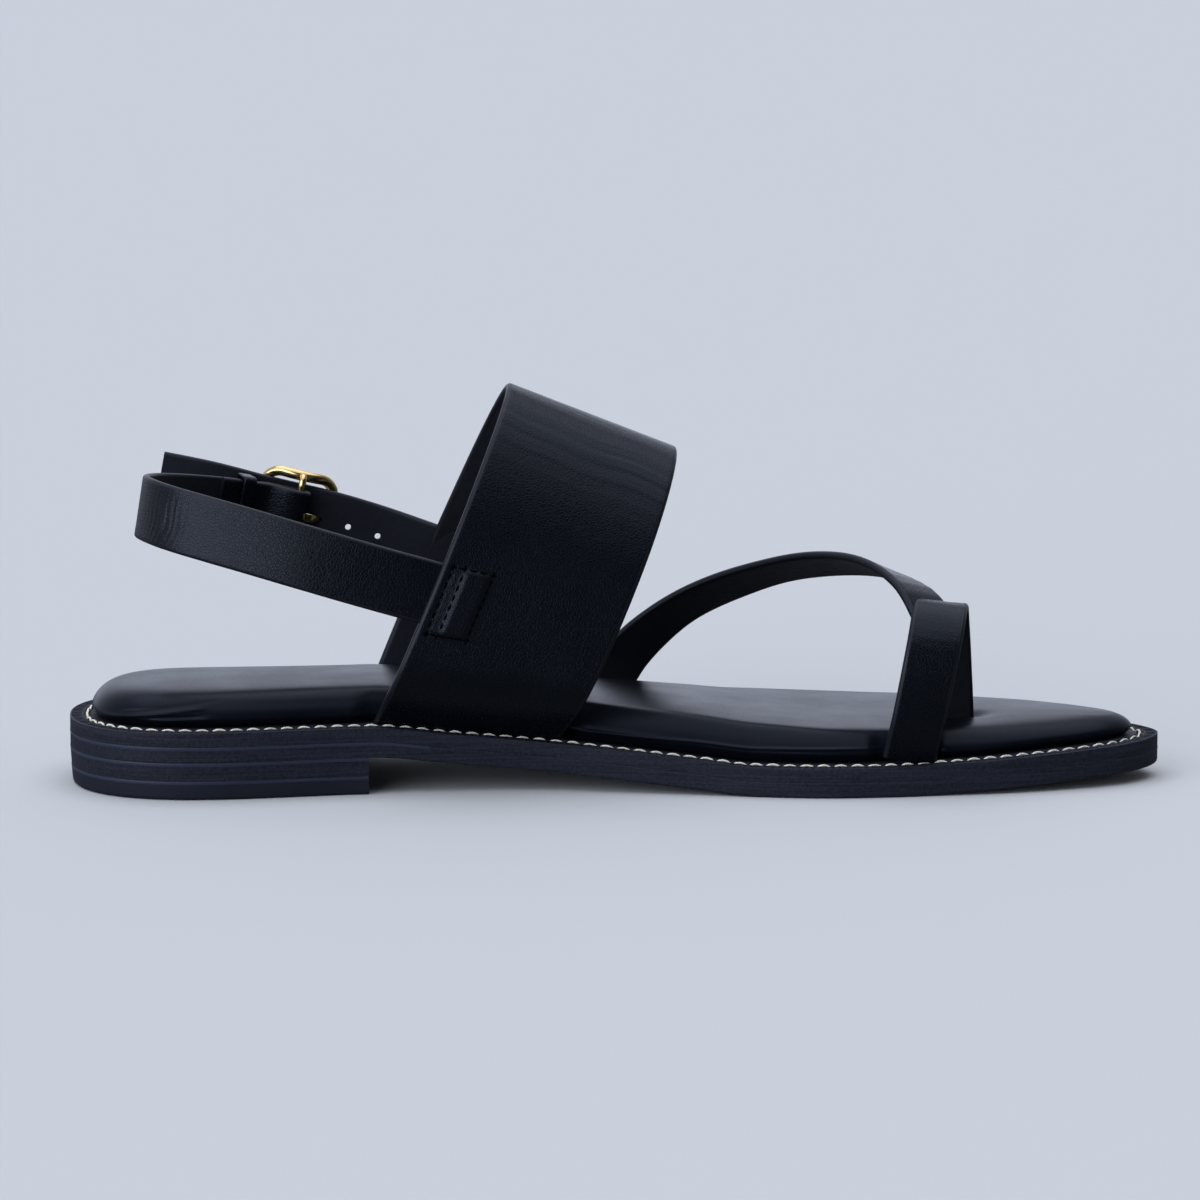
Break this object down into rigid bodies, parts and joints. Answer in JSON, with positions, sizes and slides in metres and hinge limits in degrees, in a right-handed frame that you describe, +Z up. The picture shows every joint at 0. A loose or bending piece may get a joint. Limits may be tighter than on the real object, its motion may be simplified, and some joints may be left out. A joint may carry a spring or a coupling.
{
  "type": "slingback sandal",
  "caption": "Flat leather slingback sandal with a padded footbed, wide instep band, toe loop, cross strap and buckled heel sling, on a stitched layered sole with a low heel.",
  "frame": {"origin": "on the floor, under the middle of the sole's length and width", "axes": "+X from the heel to the toe, +Y to the outer side of the left foot, +Z up"},
  "size_m": [0.258, 0.0846, 0.0934],
  "materials": {
    "strap_leather": "smooth, semi-matte black",
    "footbed_leather": "smooth, softly shining black",
    "sole_edge": "dressed and inked edge, satin",
    "heel_rubber": "matte",
    "brass": "polished cast brass"
  },
  "bodies": {
    "root": {"outsole": "sole_edge", "midsole": "sole_edge", "heel_lift": "sole_edge", "heel_top_piece": "heel_rubber", "footbed": "footbed_leather", "upper_instep_sling": "strap_leather", "upper_toe_strap": "strap_leather", "buckle_frame": "brass", "buckle_prong": "brass", "strap_keeper": "strap_leather"}
  },
  "joints": []
}
